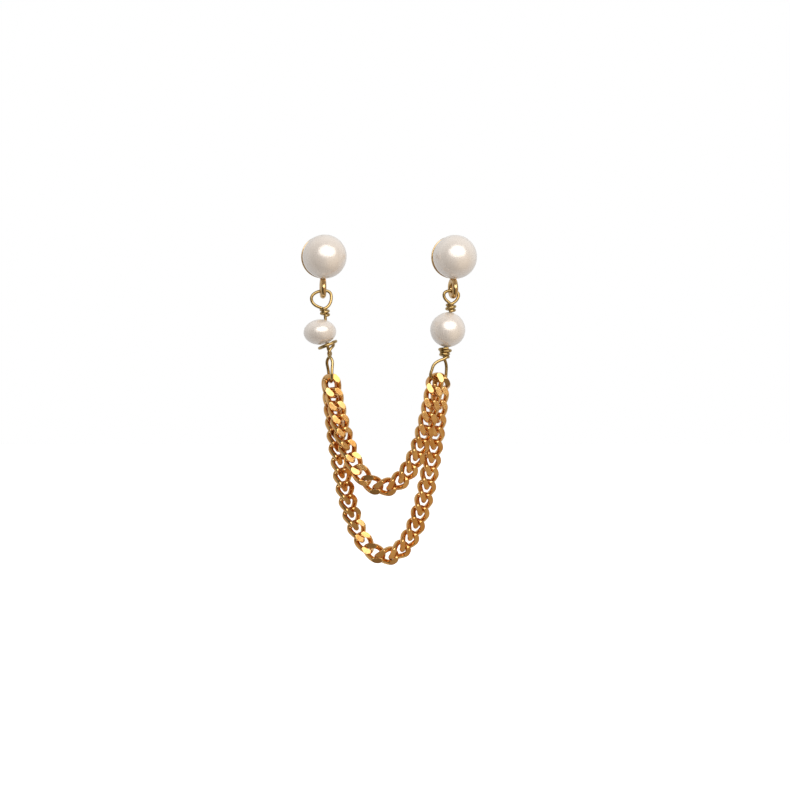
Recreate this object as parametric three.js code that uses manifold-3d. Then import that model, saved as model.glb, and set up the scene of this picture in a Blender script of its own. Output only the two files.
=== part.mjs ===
// Double tie tack: two pearl studs on clutched pins, each with a wire-wrapped pearl drop,
// joined by a short and a long curb chain that hang between the drops as a swag.
// Millimetres, +Z up. The cloth lies in the plane y = 0, the pearls face -Y, and the origin
// is on that plane, midway between the two pins.

import * as THREE from 'three';
import { mergeVertices } from 'three/addons/utils/BufferGeometryUtils.js';
import Module from 'manifold-3d';

const wasm = await Module();
wasm.setup();

// Driving dimensions.
const STUD_SPACING = 19.4;
const PEARL_RADIUS = 3.25;
const PAD_RADIUS = 3.15;
const PAD_BACK_RADIUS = 2.7;
const PAD_RIM_FRONT = -0.95;
const PAD_RIM_BACK = -0.5;
const PAD_DISH_FLOOR = -0.5;
const PIN_RADIUS = 0.5;
const PIN_LENGTH = 7.6;
const PEG_RADIUS = 0.4;
const PEG_DEPTH = 2.8;
const GLUE_ROOM = 0.3;
const EYE_RADIUS = 1.15;
const EYE_WIRE_RADIUS = 0.45;
const EYE_SETBACK = -1.5;
const EYE_BOTTOM = -6.18;
const DROP_WIRE_RADIUS = 0.24;
const DROP_LENGTH = 13.55;
const WRAP_PITCH = 0.54;
const LOOP_MERGE = 0.35;
const TWIST_SETTLES = 0.8;
const CLOTH_GAP = 2.3;
const LINK_PITCH = 2.0;
const LINK_WIRE_RADIUS = 0.41;
const LINK_PLAY = 0.08;
const LINK_HALF_WIDTH = 0.95;
const LINK_TWIST = -0.76;
const LINK_FLAT = 0.8;
const CHAIN_OFFSET = 1.0;
const CHAIN_ROLL_LEFT = -28;
const CHAIN_ROLL_RIGHT = 24;
const ROLL_EASES = 5;

// Clearances and fineness.
const CONTACT_GAP = 0.05;
const SEAT_GAP = 0.03;
const WIRE_GAP = 0.06;
const ROUND_SIDES = 18;
const PEARL_RINGS = 12;
const BORE_SIDES = 12;
const WIRE_SIDES = 6;
const WIRE_STEPS = 115;
const WRAP_STEPS = 12;
const LOOP_STEPS = 18;
const EYE_STEPS = 16;
const LINK_STEPS = 12;

// Worked out from the driving dimensions.
const PEARL_SETBACK = PAD_DISH_FLOOR - SEAT_GAP - PEARL_RADIUS;
const EYE_CENTRE = EYE_BOTTOM + EYE_RADIUS + EYE_WIRE_RADIUS;
const DROP_TOP = EYE_CENTRE - EYE_RADIUS + EYE_WIRE_RADIUS + DROP_WIRE_RADIUS + WIRE_GAP;
const LINK_HALF_LENGTH = LINK_PITCH / 2 + LINK_WIRE_RADIUS + LINK_PLAY / 2;

// Each side's own proportions: side is -1 on the left and 1 on the right, and lengths along
// the drop are measured down from the wire's top.
const LEFT = {
  name: 'left',
  side: -1,
  eyeTurn: -2,
  lean: 5,
  wrapRadius: 0.56,
  upperLoop: { height: 2.66, halfWidth: 1.5, bow: -0.35, shift: 0, flatness: 0.85, pointed: 0.5 },
  upperWrap: { turns: 2, tilt: 0 },
  bead: { depth: 6.05, radius: 2.4, halfHeight: 1.88, offset: -1.0 },
  lowerWrap: { start: 8.66, end: 8.04, turns: 1.3, climb: 0.4, radius: 1.28, flareFrom: 0, tilt: 0.42 },
  lowerLoop: { halfWidth: 2.0, bow: 0, shift: 0, flatness: 0.58, pointed: 1 },
  lowerNeck: 8.91,
  loopAngle: 90,
  loopTwist: 60,
  seat: 0.66,
};
const RIGHT = {
  name: 'right',
  side: 1,
  eyeTurn: 10,
  lean: 7.6,
  wrapRadius: 0.62,
  upperLoop: { height: 1.96, halfWidth: 1.12, bow: -0.2, shift: 0, flatness: 0.85, pointed: 0.9 },
  upperWrap: { turns: 2, tilt: 0.16 },
  bead: { depth: 5.82, radius: 2.58, halfHeight: 2.58, offset: 0 },
  lowerWrap: { start: 9.88, end: 8.6, turns: 3, climb: 3, radius: 0.85, flareFrom: 1.9, tilt: 0.14 },
  lowerLoop: { halfWidth: 1.32, bow: -0.37, shift: -0.42, flatness: 0.58, pointed: 1 },
  lowerNeck: 10.11,
  loopAngle: 20,
  loopTwist: 0,
  seat: 0.6,
};

// The two chains: how many links, how many of them are joined at the bottom, where the chain
// hangs, and between which shares of its length it turns from its left roll to its right one.
const SHORT = { name: 'short', count: 19, joined: 3, way: -1, turnsFrom: 0.2, turnsTo: 0.55 };
const LONG = { name: 'long', count: 29, joined: 5, way: 1, turnsFrom: 0.36, turnsTo: 0.52 };

// Materials.
function metal(color, roughness) {
  return new THREE.MeshStandardMaterial({ color, roughness, metalness: 1 });
}

const findingGold = metal(0xd9b25a, 0.25);
const wireGold = metal(0xc9a64b, 0.3);
const chainGold = metal(0xd79a3f, 0.22);
const springSteel = metal(0xb9bcc0, 0.35);
const nacre = new THREE.MeshStandardMaterial({ color: 0xd2c6ba, roughness: 0.25, metalness: 0 });

// Solids: three.js shapes joined and cut as closed meshes.
function closed(geometry) {
  const bare = geometry.clone();
  bare.deleteAttribute('normal');
  bare.deleteAttribute('uv');
  return mergeVertices(bare, 1e-5);
}

function solid(geometry) {
  const merged = closed(geometry);
  const vertProperties = new Float32Array(merged.attributes.position.array);
  const triVerts = new Uint32Array(merged.index.array);
  return new wasm.Manifold(new wasm.Mesh({ numProp: 3, vertProperties, triVerts }));
}

function surface(manifold) {
  const mesh = manifold.getMesh();
  const geometry = new THREE.BufferGeometry();
  const positions = new Float32Array(mesh.vertProperties);
  geometry.setAttribute('position', new THREE.BufferAttribute(positions, 3));
  geometry.setIndex(new THREE.BufferAttribute(new Uint32Array(mesh.triVerts), 1));
  geometry.computeVertexNormals();
  return geometry;
}

function piece(name, geometry, material) {
  const mesh = new THREE.Mesh(geometry, material);
  mesh.name = name;
  return mesh;
}

// A turned solid about the Y axis, from [radius, y] points.
function turned(profile, sides = ROUND_SIDES) {
  return new THREE.LatheGeometry(profile.map(([r, y]) => new THREE.Vector2(r, y)), sides);
}

function rodAlongY(radius, from, to, sides) {
  return new THREE.CylinderGeometry(radius, radius, to - from, sides).translate(0, (from + to) / 2, 0);
}

// Round wire along an open run of points.
function wire(points, radius, steps, sides = WIRE_SIDES) {
  const circle = new THREE.EllipseCurve(0, 0, radius, radius);
  const section = new THREE.Shape(circle.getPoints(sides).slice(0, -1));
  const path = new THREE.CatmullRomCurve3(points, false, 'centripetal');
  return new THREE.ExtrudeGeometry(section, { steps, extrudePath: path, bevelEnabled: false });
}

function smooth(x) {
  return THREE.MathUtils.smoothstep(x, 0, 1);
}

// Stud: a dished pad with a drilled centre, and the soldered eye that the drop hangs from.
function padGeometry() {
  const hole = PIN_RADIUS + CONTACT_GAP;
  const rimInside = PAD_RADIUS * 0.93;
  const dishKnee = PAD_RADIUS * 0.55;
  const kneeDepth = THREE.MathUtils.lerp(PAD_DISH_FLOOR, PAD_RIM_FRONT, 1 / 3);
  return turned([
    [hole, 0],
    [hole, PAD_DISH_FLOOR],
    [dishKnee, kneeDepth],
    [rimInside, PAD_RIM_FRONT],
    [PAD_RADIUS, PAD_RIM_FRONT],
    [PAD_RADIUS, PAD_RIM_BACK],
    [PAD_BACK_RADIUS, 0],
    [hole, 0],
  ]);
}

function eyeGeometry(turn) {
  const ring = new THREE.TorusGeometry(EYE_RADIUS, EYE_WIRE_RADIUS, WIRE_SIDES, EYE_STEPS);
  ring.rotateY(Math.PI / 2);
  ring.rotateZ(THREE.MathUtils.degToRad(turn));
  return ring.translate(0, EYE_SETBACK, EYE_CENTRE);
}

// The solder runs from inside the pad's edge to the middle of the eye's wire.
function solderGeometry() {
  const radius = EYE_WIRE_RADIUS * 1.1;
  const sides = 8;
  const from = new THREE.Vector3(0, (PAD_RIM_FRONT + PAD_RIM_BACK) / 2, -PAD_RADIUS * 0.95);
  const to = new THREE.Vector3(0, EYE_SETBACK, EYE_CENTRE + EYE_RADIUS);
  const bridge = new THREE.CylinderGeometry(radius, radius, from.distanceTo(to), sides);
  const along = to.clone().sub(from).normalize();
  bridge.applyQuaternion(new THREE.Quaternion().setFromUnitVectors(new THREE.Vector3(0, 1, 0), along));
  const middle = from.add(to).multiplyScalar(0.5);
  return bridge.translate(middle.x, middle.y, middle.z);
}

function settingGeometry(eyeTurn) {
  return surface(solid(padGeometry()).add(solid(solderGeometry())).add(solid(eyeGeometry(eyeTurn))));
}

// A pearl is half drilled for its stud's peg.
function studPearlGeometry() {
  const ball = new THREE.SphereGeometry(PEARL_RADIUS, ROUND_SIDES, PEARL_RINGS);
  ball.translate(0, PEARL_SETBACK, 0);
  const boreEnd = PAD_DISH_FLOOR - PEG_DEPTH - GLUE_ROOM;
  const bore = rodAlongY(PEG_RADIUS + CONTACT_GAP, boreEnd, 0, BORE_SIDES);
  return surface(solid(ball).subtract(solid(bore)));
}

// Post: the peg that the pearl is glued on, and the pin with its gripping groove and point.
function postGeometry() {
  const pegEnd = PAD_DISH_FLOOR - PEG_DEPTH;
  const groove = CLOTH_GAP + 1.6;
  const grooveHalfWidth = 0.3;
  const grooveRadius = PIN_RADIUS * 0.84;
  const pointLength = 1.3;
  const tipRadius = PIN_RADIUS * 0.16;
  const edge = 0.05;
  return turned([
    [0, pegEnd],
    [PEG_RADIUS - 2 * edge, pegEnd],
    [PEG_RADIUS, pegEnd + 2 * edge],
    [PEG_RADIUS, PAD_DISH_FLOOR],
    [PIN_RADIUS, PAD_DISH_FLOOR + edge],
    [PIN_RADIUS, groove - grooveHalfWidth],
    [grooveRadius, groove],
    [PIN_RADIUS, groove + grooveHalfWidth],
    [PIN_RADIUS, PIN_LENGTH - pointLength],
    [tipRadius, PIN_LENGTH - edge],
    [0, PIN_LENGTH],
  ], BORE_SIDES);
}

// Clutch: a flanged barrel with a tapered seat, a three-fingered jaw that a spring presses
// into the taper, and the pull cap that draws the jaw back. Lengths run back from its face.
const FLANGE_RADIUS = 2.4;
const FLANGE_THICKNESS = 0.45;
const BARREL_RADIUS = 1.45;
const BARREL_LENGTH = 4.0;
const BARREL_LIP = 0.25;
const BARREL_BORE = 1.15;
const TAPER_FROM = 0.7;
const TAPER_TO = 2.1;
const STEM_RADIUS = 0.72;
const STEM_LENGTH = 4.8;
const CAP_FRONT = 0.75;
const CAP_WEB = 4.3;
const CAP_LENGTH = 5.9;
const CAP_RADIUS = 1.9;
const CAP_TAIL_RADIUS = 1.55;
const CAP_WALL = 0.3;
const JAW_NOSE = TAPER_FROM + 0.35;
const JAW_SHOULDER = TAPER_TO + 0.05;
const JAW_FINGERS = 3;
const JAW_SLOT = 0.16;
const JAW_SLOT_LENGTH = 2.2;
const SPRING_WIRE_RADIUS = 0.1;
const SPRING_TURNS = 3.5;

function clutchBaseGeometry() {
  const hole = PIN_RADIUS + 2 * CONTACT_GAP;
  const edge = 0.15;
  return turned([
    [hole, 0],
    [FLANGE_RADIUS, 0],
    [FLANGE_RADIUS, FLANGE_THICKNESS - edge],
    [FLANGE_RADIUS - edge, FLANGE_THICKNESS],
    [BARREL_RADIUS, FLANGE_THICKNESS],
    [BARREL_RADIUS, BARREL_LENGTH],
    [STEM_RADIUS + CONTACT_GAP, BARREL_LENGTH],
    [STEM_RADIUS + CONTACT_GAP, BARREL_LENGTH - BARREL_LIP],
    [BARREL_BORE, BARREL_LENGTH - BARREL_LIP],
    [BARREL_BORE, TAPER_TO],
    [hole, TAPER_FROM],
    [hole, 0],
  ]);
}

function clutchJawGeometry() {
  const bore = PIN_RADIUS + CONTACT_GAP;
  const widest = BARREL_BORE - 2 * CONTACT_GAP;
  const edge = 0.05;
  let jaw = solid(turned([
    [bore, JAW_NOSE],
    [bore + 2 * edge, JAW_NOSE],
    [widest, JAW_SHOULDER - edge],
    [widest, JAW_SHOULDER],
    [STEM_RADIUS, JAW_SHOULDER],
    [STEM_RADIUS, STEM_LENGTH],
    [bore, STEM_LENGTH],
    [bore, JAW_NOSE],
  ], BORE_SIDES));
  const slotMiddle = JAW_NOSE + JAW_SLOT_LENGTH / 2 - JAW_SLOT;
  for (let finger = 0; finger < JAW_FINGERS; finger += 1) {
    const slot = new THREE.BoxGeometry(BARREL_BORE * 2, JAW_SLOT_LENGTH, JAW_SLOT);
    slot.translate(BARREL_BORE, slotMiddle, 0);
    slot.rotateY((finger * 2 * Math.PI) / JAW_FINGERS);
    jaw = jaw.subtract(solid(slot));
  }
  return surface(jaw);
}

function clutchSpringGeometry() {
  const from = JAW_SHOULDER + SPRING_WIRE_RADIUS + SEAT_GAP;
  const to = BARREL_LENGTH - BARREL_LIP - SPRING_WIRE_RADIUS - SEAT_GAP;
  const radius = (STEM_RADIUS + BARREL_BORE) / 2;
  const steps = SPRING_TURNS * WRAP_STEPS;
  const sides = 4;
  const points = [];
  for (let i = 0; i <= steps; i += 1) {
    const angle = (i * 2 * Math.PI) / WRAP_STEPS;
    const y = THREE.MathUtils.lerp(from, to, i / steps);
    points.push(new THREE.Vector3(radius * Math.cos(angle), y, radius * Math.sin(angle)));
  }
  return wire(points, SPRING_WIRE_RADIUS, steps, sides);
}

function clutchCapGeometry() {
  const inner = BARREL_RADIUS + 2 * CONTACT_GAP;
  const socket = STEM_RADIUS + CONTACT_GAP;
  const skirtEnd = CAP_WEB * 0.6;
  const edge = 0.15;
  return turned([
    [0, CAP_LENGTH],
    [0, CAP_LENGTH - CAP_WALL],
    [socket, CAP_LENGTH - CAP_WALL],
    [socket, CAP_WEB],
    [inner, CAP_WEB],
    [inner, CAP_FRONT],
    [CAP_RADIUS - edge, CAP_FRONT],
    [CAP_RADIUS, CAP_FRONT + edge],
    [CAP_RADIUS, skirtEnd],
    [CAP_TAIL_RADIUS, CAP_LENGTH - 2 * edge],
    [CAP_TAIL_RADIUS - 2 * edge, CAP_LENGTH],
    [0, CAP_LENGTH],
  ]);
}

function clutch(name) {
  const group = new THREE.Group();
  group.position.y = CLOTH_GAP;
  group.add(
    piece(`${name}_clutch_base`, clutchBaseGeometry(), findingGold),
    piece(`${name}_clutch_jaw`, clutchJawGeometry(), findingGold),
    piece(`${name}_clutch_spring`, clutchSpringGeometry(), springSteel),
    piece(`${name}_clutch_cap`, clutchCapGeometry(), findingGold),
  );
  return group;
}

// Drop wire: one length of wire with a wrapped loop at each end. A loop leaves its neck,
// opens into a teardrop and comes back to the neck. The more pointed it is, the narrower it is
// by the neck; a low flatness makes the far end flat; bow moves both legs aside halfway along,
// and shift moves the far end aside.
function loopPoint(t, height, { halfWidth, bow, shift, flatness, pointed }) {
  const widest = 2 * Math.sqrt((pointed + 1) ** (pointed + 1) / (pointed + 2) ** (pointed + 2));
  const teardrop = (Math.sin(t) * Math.sin(t / 2) ** pointed) / widest;
  const across = teardrop * halfWidth + bow * Math.sin(t) ** 2 + (shift * (1 - Math.cos(t))) / 2;
  const reach = (1 - Math.sign(Math.cos(t)) * Math.abs(Math.cos(t)) ** flatness) / 2;
  return { across, reach: reach * height, widest };
}

function upperLoopPoints({ upperLoop, wrapRadius }) {
  const points = [];
  for (let i = 1; i < LOOP_STEPS; i += 1) {
    const around = i / LOOP_STEPS;
    const { across, reach } = loopPoint(around * 2 * Math.PI, upperLoop.height, upperLoop);
    const aside = wrapRadius * (1 - smooth(around / LOOP_MERGE));
    points.push(new THREE.Vector3(across, -aside, reach - upperLoop.height));
  }
  return points;
}

// The lower loop may be twisted below its neck, so that its legs cross each other once before
// they reach the part that carries the chains.
function lowerLoopPoints({ lowerLoop, lowerNeck, loopAngle, loopTwist, wrapRadius }) {
  const upright = new THREE.Vector3(0, 0, 1);
  const height = DROP_LENGTH - lowerNeck;
  const points = [];
  for (let i = 1; i < LOOP_STEPS; i += 1) {
    const around = i / LOOP_STEPS;
    const { across, reach } = loopPoint(around * 2 * Math.PI, height, lowerLoop);
    const aside = wrapRadius * smooth(1 - (1 - around) / LOOP_MERGE);
    const settled = Math.min(reach / (height * TWIST_SETTLES), 1);
    const twist = loopTwist * Math.cos(1.5 * Math.PI * settled) * (1 - settled) ** 3;
    const point = new THREE.Vector3(across, -aside, -lowerNeck - reach);
    points.push(point.applyAxisAngle(upright, THREE.MathUtils.degToRad(loopAngle - twist)));
  }
  return points;
}

function upperWrapPoints({ upperLoop, upperWrap, wrapRadius }) {
  const points = [];
  for (let i = 0; i <= upperWrap.turns * WRAP_STEPS; i += 1) {
    const turn = i / WRAP_STEPS - upperWrap.turns;
    const angle = turn * 2 * Math.PI - Math.PI / 2;
    const [x, y] = [wrapRadius * Math.cos(angle), wrapRadius * Math.sin(angle)];
    const z = WRAP_PITCH * turn - upperLoop.height + upperWrap.tilt * Math.cos(angle);
    points.push(new THREE.Vector3(x, y, z));
  }
  return points;
}

function lowerWrapPoints({ lowerWrap, loopAngle, loopTwist, wrapRadius }) {
  const { start, end, turns, climb, radius, flareFrom, tilt } = lowerWrap;
  const flareTurns = 0.4;
  const first = THREE.MathUtils.degToRad(loopAngle - loopTwist) - Math.PI / 2;
  const points = [];
  for (let i = 0; i <= Math.round(turns * WRAP_STEPS); i += 1) {
    const turn = i / WRAP_STEPS;
    const angle = turn * 2 * Math.PI + first;
    const flare = smooth((turn - flareFrom) / flareTurns);
    const r = THREE.MathUtils.lerp(wrapRadius, radius, flare);
    const down = THREE.MathUtils.lerp(start, end, Math.min(turn / climb, 1));
    const z = tilt * flare * Math.cos(angle) - down;
    points.push(new THREE.Vector3(r * Math.cos(angle), r * Math.sin(angle), z));
  }
  return points;
}

function dropWireGeometry(side) {
  const neckTop = -side.upperLoop.height;
  const stem = 6;
  const points = [...upperWrapPoints(side), ...upperLoopPoints(side)];
  for (let i = 0; i <= stem; i += 1) {
    const z = THREE.MathUtils.lerp(neckTop, -side.lowerNeck, i / stem);
    points.push(new THREE.Vector3(0, 0, z));
  }
  points.push(...lowerLoopPoints(side), ...lowerWrapPoints(side));
  return wire(points, DROP_WIRE_RADIUS, WIRE_STEPS);
}

function dropPearlGeometry({ depth, radius, halfHeight, offset }) {
  const ball = new THREE.SphereGeometry(1, ROUND_SIDES, PEARL_RINGS).rotateX(Math.PI / 2);
  ball.scale(radius, radius, halfHeight).translate(offset, 0, -depth);
  const bore = rodAlongY(DROP_WIRE_RADIUS + CONTACT_GAP, -radius, radius, BORE_SIDES);
  bore.rotateX(Math.PI / 2).translate(0, 0, -depth);
  return surface(solid(ball).subtract(solid(bore)));
}

function lean(side) {
  return THREE.MathUtils.degToRad(side.lean) * side.side;
}

function drop(side) {
  const group = new THREE.Group();
  group.position.set(0, EYE_SETBACK, DROP_TOP);
  group.rotation.y = lean(side);
  group.add(
    piece(`${side.name}_drop_wire`, dropWireGeometry(side), wireGold),
    piece(`${side.name}_drop_pearl`, dropPearlGeometry(side.bead), nacre),
  );
  return group;
}

function stud(side) {
  const group = new THREE.Group();
  group.position.x = (side.side * STUD_SPACING) / 2;
  group.add(
    piece(`${side.name}_setting`, settingGeometry(side.eyeTurn), findingGold),
    piece(`${side.name}_stud_pearl`, studPearlGeometry(), nacre),
    piece(`${side.name}_post`, postGeometry(), findingGold),
    clutch(side.name),
    drop(side),
  );
  return group;
}

// Curb link: an oval ring of wire, twisted so that its neighbours lie flat through it, with
// both faces cut flat.
function linkCentre(t) {
  return new THREE.Vector3(
    LINK_HALF_LENGTH * Math.cos(t),
    LINK_HALF_WIDTH * Math.sin(t),
    LINK_TWIST * Math.sin(2 * t),
  );
}

function linkTangent(t) {
  return new THREE.Vector3(
    -LINK_HALF_LENGTH * Math.sin(t),
    LINK_HALF_WIDTH * Math.cos(t),
    2 * LINK_TWIST * Math.cos(2 * t),
  ).normalize();
}

function linkGeometry() {
  const ring = new THREE.TorusGeometry(LINK_HALF_LENGTH, LINK_WIRE_RADIUS, WIRE_SIDES, LINK_STEPS);
  const positions = ring.attributes.position;
  for (let i = 0; i < positions.count; i += 1) {
    const onRing = new THREE.Vector3().fromBufferAttribute(positions, i);
    const t = Math.atan2(onRing.y, onRing.x);
    const tangent = linkTangent(t);
    const outward = new THREE.Vector3(Math.cos(t) / LINK_HALF_LENGTH, Math.sin(t) / LINK_HALF_WIDTH, 0);
    outward.addScaledVector(tangent, -outward.dot(tangent)).normalize();
    const across = new THREE.Vector3().crossVectors(outward, tangent);
    const point = linkCentre(t)
      .addScaledVector(outward, Math.hypot(onRing.x, onRing.y) - LINK_HALF_LENGTH)
      .addScaledVector(across, onRing.z);
    const flatZ = THREE.MathUtils.clamp(point.z, -LINK_FLAT, LINK_FLAT);
    positions.setXYZ(i, point.x, point.y, flatZ);
  }
  return closed(ring);
}

// Where a chain's end link bears on a drop's lower loop, in the part's frame: seat is the
// distance along the loop's bottom from its middle.
function loopSeat(side, seat) {
  const { lowerLoop, lowerNeck, loopAngle } = side;
  const height = DROP_LENGTH - lowerNeck;
  const { widest } = loopPoint(Math.PI, height, lowerLoop);
  const t = Math.PI - Math.asin((seat * widest) / lowerLoop.halfWidth);
  const { across, reach } = loopPoint(t, height, lowerLoop);
  const point = new THREE.Vector3(across, 0, -lowerNeck - reach + DROP_WIRE_RADIUS + WIRE_GAP);
  point.applyAxisAngle(new THREE.Vector3(0, 0, 1), THREE.MathUtils.degToRad(loopAngle));
  point.applyAxisAngle(new THREE.Vector3(0, 1, 0), lean(side));
  return point.add(new THREE.Vector3((side.side * STUD_SPACING) / 2, EYE_SETBACK, DROP_TOP));
}

// A hanging chain of equal links: the slope of each link grows evenly from one end to the
// other. The steepness is found for the span, and the turning point for the ends' heights.
function hangingCorners(start, end, reaches) {
  const run = (steepness, turning) => {
    const corners = [new THREE.Vector2(start.x, start.z)];
    reaches.forEach((reach, i) => {
      const angle = Math.atan(steepness * (i - turning));
      const step = new THREE.Vector2(Math.cos(angle), Math.sin(angle)).multiplyScalar(reach);
      corners.push(corners[i].clone().add(step));
    });
    return corners;
  };
  const solve = (low, high, isLow) => {
    let [from, to] = [low, high];
    for (let halving = 0; halving < 60; halving += 1) {
      const middle = (from + to) / 2;
      if (isLow(middle)) {
        from = middle;
      } else {
        to = middle;
      }
    }
    return (from + to) / 2;
  };
  const turningFor = (steepness) => solve(0, reaches.length, (turning) => (
    run(steepness, turning).at(-1).y > end.z
  ));
  const steepness = solve(0.01, 5, (value) => run(value, turningFor(value)).at(-1).x > end.x);
  return run(steepness, turningFor(steepness));
}

// The chain's corners are where its links bear on each other: the ends on the two loops, and
// all the others in the chain's own plane, so the end links reach across to it.
function chainCorners({ count, way }) {
  const start = loopSeat(LEFT, LEFT.seat * way);
  const end = loopSeat(RIGHT, RIGHT.seat * way);
  const plane = EYE_SETBACK + CHAIN_OFFSET * way;
  const reaches = new Array(count).fill(LINK_PITCH);
  reaches[0] = Math.sqrt(LINK_PITCH ** 2 - (plane - start.y) ** 2);
  reaches[count - 1] = Math.sqrt(LINK_PITCH ** 2 - (plane - end.y) ** 2);
  const flat = hangingCorners(start, end, reaches);
  const corners = flat.map((corner) => new THREE.Vector3(corner.x, plane, corner.y));
  corners[0].y = start.y;
  corners[count].y = end.y;
  return corners;
}

// A chain turns about its own length as it goes from left to right, and lies square to the
// front where it hangs on the loops.
function chainRoll(i, { count, turnsFrom, turnsTo }) {
  const last = count - 1;
  const share = THREE.MathUtils.smoothstep(i / last, turnsFrom, turnsTo);
  const roll = THREE.MathUtils.lerp(CHAIN_ROLL_LEFT, CHAIN_ROLL_RIGHT, share);
  return THREE.MathUtils.degToRad(roll * smooth(Math.min(i, last - i) / ROLL_EASES));
}

// Link number i of a chain, between two of the chain's corners.
function linkPlacement(strand, corners, i) {
  const [from, to] = [corners[i], corners[i + 1]];
  const along = to.clone().sub(from).normalize();
  const front = new THREE.Vector3(0, -1, 0);
  front.addScaledVector(along, -front.dot(along)).normalize();
  const across = new THREE.Vector3().crossVectors(front, along);
  const placement = new THREE.Matrix4().makeBasis(along, across, front);
  placement.multiply(new THREE.Matrix4().makeRotationX(chainRoll(i, strand)));
  return placement.setPosition(from.clone().add(to).multiplyScalar(0.5));
}

// The links at the bottom of the swag, joined to each other where they bear.
function joinedLinks(strand, corners, first) {
  const bearing = LINK_WIRE_RADIUS * 0.8;
  const linkAt = (i) => linkGeometry().applyMatrix4(linkPlacement(strand, corners, i));
  let joined = solid(linkAt(first));
  for (let i = first + 1; i < first + strand.joined; i += 1) {
    const { x, y, z } = corners[i];
    const bridge = new THREE.OctahedronGeometry(bearing, 1).translate(x, y, z);
    joined = joined.add(solid(bridge)).add(solid(linkAt(i)));
  }
  return surface(joined);
}

function chain(strand) {
  const { name, count, joined } = strand;
  const group = new THREE.Group();
  const corners = chainCorners(strand);
  const perSide = (count - joined) / 2;
  const addLink = (label, index) => {
    const link = piece(`${name}_chain_${label}`, linkGeometry(), chainGold);
    link.applyMatrix4(linkPlacement(strand, corners, index));
    group.add(link);
  };
  for (let i = 0; i < perSide; i += 1) {
    const number = String(i + 1).padStart(2, '0');
    addLink(`left_${number}`, i);
    addLink(`right_${number}`, count - 1 - i);
  }
  group.add(piece(`${name}_chain_bottom`, joinedLinks(strand, corners, perSide), chainGold));
  return group;
}

const tieTack = new THREE.Group();
tieTack.add(
  stud(LEFT),
  stud(RIGHT),
  chain(SHORT),
  chain(LONG),
);

export default tieTack;
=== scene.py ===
"""Looks of the double pearl tie tack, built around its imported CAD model.

Metres, +Z up. The cloth lies in the plane y = 0, the pearls face -Y, and the origin is midway
between the two pins. Shapes repeat the CAD model's formulas, with more points and finer edges.
"""

import math

import bmesh
import bpy
import numpy as np
from mathutils import Matrix, Vector


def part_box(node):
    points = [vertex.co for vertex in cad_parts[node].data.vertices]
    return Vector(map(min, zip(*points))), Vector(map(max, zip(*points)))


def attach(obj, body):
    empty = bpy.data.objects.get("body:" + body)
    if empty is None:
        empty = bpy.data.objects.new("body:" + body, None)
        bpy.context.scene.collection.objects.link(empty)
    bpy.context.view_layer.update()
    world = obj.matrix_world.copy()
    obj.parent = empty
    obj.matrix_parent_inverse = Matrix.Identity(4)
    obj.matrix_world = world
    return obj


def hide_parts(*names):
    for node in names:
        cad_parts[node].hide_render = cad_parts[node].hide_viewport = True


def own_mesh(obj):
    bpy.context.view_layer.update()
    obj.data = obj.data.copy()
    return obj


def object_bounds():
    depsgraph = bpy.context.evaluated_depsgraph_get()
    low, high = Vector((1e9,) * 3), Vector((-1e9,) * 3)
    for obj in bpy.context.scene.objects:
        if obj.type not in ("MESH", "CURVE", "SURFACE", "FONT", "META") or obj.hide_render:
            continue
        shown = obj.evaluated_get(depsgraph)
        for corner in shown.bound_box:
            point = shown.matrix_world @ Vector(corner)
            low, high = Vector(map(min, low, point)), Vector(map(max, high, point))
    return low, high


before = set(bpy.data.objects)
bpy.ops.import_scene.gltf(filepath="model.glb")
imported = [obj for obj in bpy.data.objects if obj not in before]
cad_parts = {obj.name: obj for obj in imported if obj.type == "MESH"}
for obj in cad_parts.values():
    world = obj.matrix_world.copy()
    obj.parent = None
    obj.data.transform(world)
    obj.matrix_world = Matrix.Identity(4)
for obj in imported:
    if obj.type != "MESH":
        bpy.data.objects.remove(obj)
cad_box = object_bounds()

MM = 0.001
UP = Vector((0, 0, 1))

# Driving dimensions, in millimetres, as in the CAD model.
PEARL_RADIUS = 3.25
PAD_RADIUS = 3.15
PAD_BACK_RADIUS = 2.7
PAD_RIM_FRONT = -0.95
PAD_RIM_BACK = -0.5
PAD_DISH_FLOOR = -0.5
PIN_RADIUS = 0.5
PIN_LENGTH = 7.6
PEG_RADIUS = 0.4
PEG_DEPTH = 2.8
GLUE_ROOM = 0.3
EYE_RADIUS = 1.15
EYE_WIRE_RADIUS = 0.45
EYE_SETBACK = -1.5
EYE_BOTTOM = -6.18
DROP_WIRE_RADIUS = 0.24
DROP_LENGTH = 13.55
WRAP_PITCH = 0.54
LOOP_MERGE = 0.35
FLARE_TURNS = 0.4
TWIST_SETTLES = 0.8
CLOTH_GAP = 2.3
LINK_PITCH = 2.0
LINK_WIRE_RADIUS = 0.41
LINK_PLAY = 0.08
LINK_HALF_WIDTH = 0.95
LINK_TWIST = -0.76
LINK_FLAT = 0.8
CHAIN_OFFSET = 1.0
CHAIN_ROLL_LEFT = -28
CHAIN_ROLL_RIGHT = 24
ROLL_EASES = 5
WIRE_GAP = 0.06
SEAT_GAP = 0.03
CONTACT_GAP = 0.05

# Worked out from the driving dimensions and the frame.
PEARL_SETBACK = PAD_DISH_FLOOR - SEAT_GAP - PEARL_RADIUS
EYE_CENTRE = EYE_BOTTOM + EYE_RADIUS + EYE_WIRE_RADIUS
DROP_TOP = EYE_CENTRE - EYE_RADIUS + EYE_WIRE_RADIUS + DROP_WIRE_RADIUS + WIRE_GAP
LINK_HALF_LENGTH = LINK_PITCH / 2 + LINK_WIRE_RADIUS + LINK_PLAY / 2
STUD_SPACING = 2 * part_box("right_post")[1].x / MM - 2 * PIN_RADIUS

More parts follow.
